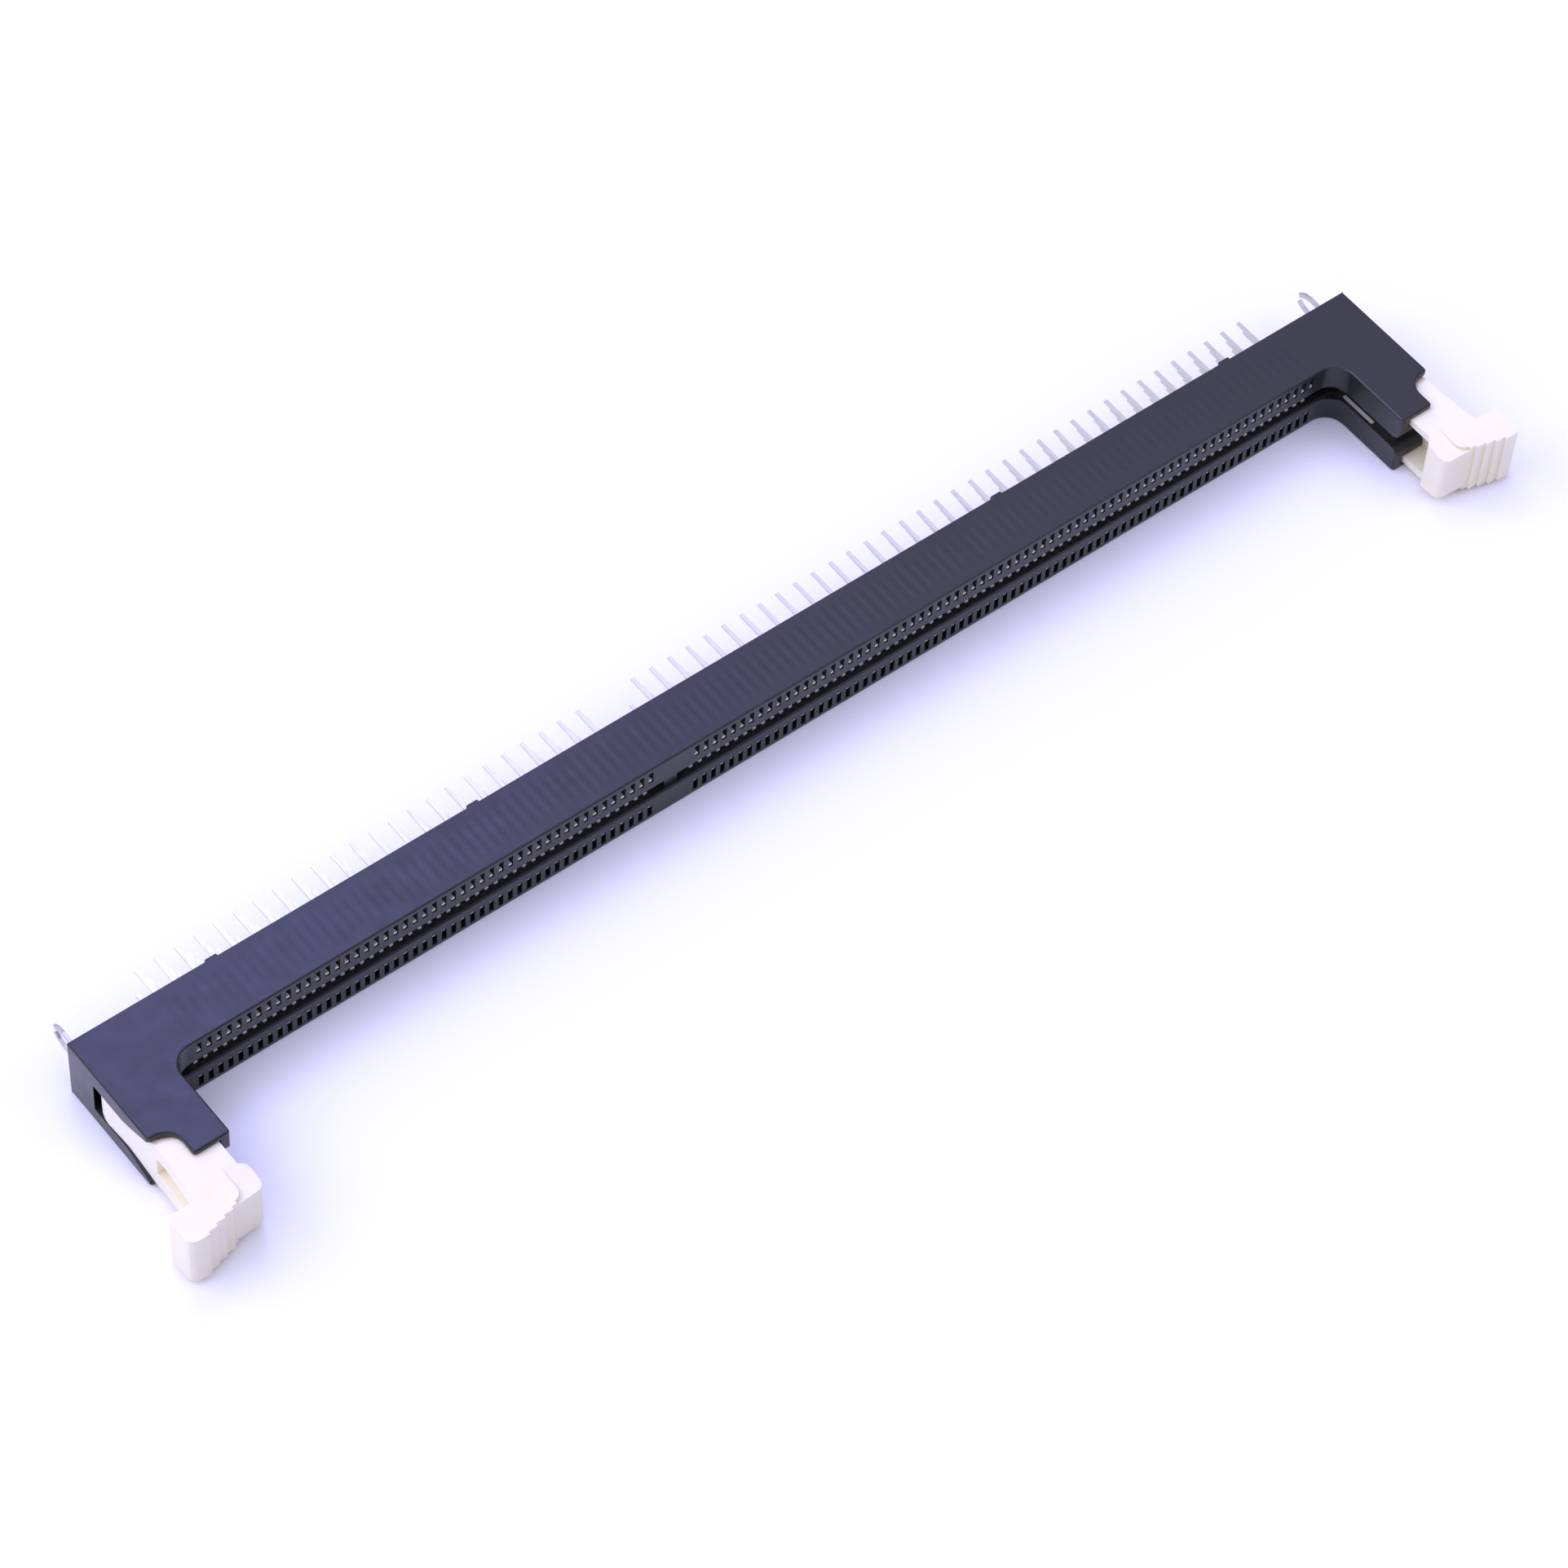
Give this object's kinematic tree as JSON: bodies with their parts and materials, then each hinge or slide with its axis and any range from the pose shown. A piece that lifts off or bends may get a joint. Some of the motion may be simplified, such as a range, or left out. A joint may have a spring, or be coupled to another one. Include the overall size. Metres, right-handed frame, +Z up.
{
  "type": "card edge connector",
  "caption": "Long black card edge connector for a memory module, lying on its side, with a keyed slot, end towers, swinging ejector latches, solder tails and forked board locks.",
  "frame": {"origin": "middle of the board seating plane, at the tips of the standoff feet and at mid thickness", "axes": "+X along the contact rows towards the end of the longer group, +Y towards the board and along the solder tails, +Z up through the thickness as the connector lies on its side"},
  "size_m": [0.1464, 0.0259, 0.0072],
  "materials": {
    "housing_plastic": "satin moulded black",
    "latch_plastic": "satin moulded ivory",
    "contact_tin": "copper alloy with a bright tin finish on the tails",
    "lock_tin": "copper alloy sheet with a matte tin finish"
  },
  "bodies": {
    "socket": {"housing": "housing_plastic", "board_lock_left": "lock_tin", "board_lock_right": "lock_tin", "contacts_upper_outer_1": "contact_tin", "contacts_upper_outer_2": "contact_tin", "contacts_upper_outer_3": "contact_tin", "contacts_upper_outer_4": "contact_tin", "contacts_upper_outer_5": "contact_tin", "contacts_upper_inner_1": "contact_tin", "contacts_upper_inner_2": "contact_tin", "contacts_upper_inner_3": "contact_tin", "contacts_upper_inner_4": "contact_tin", "contacts_upper_inner_5": "contact_tin", "contacts_lower_inner_1": "contact_tin", "contacts_lower_inner_2": "contact_tin", "contacts_lower_inner_3": "contact_tin", "contacts_lower_inner_4": "contact_tin", "contacts_lower_inner_5": "contact_tin", "contacts_lower_outer_1": "contact_tin", "contacts_lower_outer_2": "contact_tin", "contacts_lower_outer_3": "contact_tin", "contacts_lower_outer_4": "contact_tin", "contacts_lower_outer_5": "contact_tin"},
    "latch_left": {"latch_left": "latch_plastic"},
    "latch_right": {"latch_right": "latch_plastic"}
  },
  "joints": [
    {"name": "latch_left_swing", "type": "hinge", "parent": "socket", "child": "latch_left", "pos_m": [-0.0673, -0.00585, 0], "axis": [0, 0, -1], "range_deg": [0, 35]},
    {"name": "latch_right_swing", "type": "hinge", "parent": "socket", "child": "latch_right", "pos_m": [0.0673, -0.00585, 0], "axis": [0, 0, 1], "range_deg": [0, 35]}
  ]
}
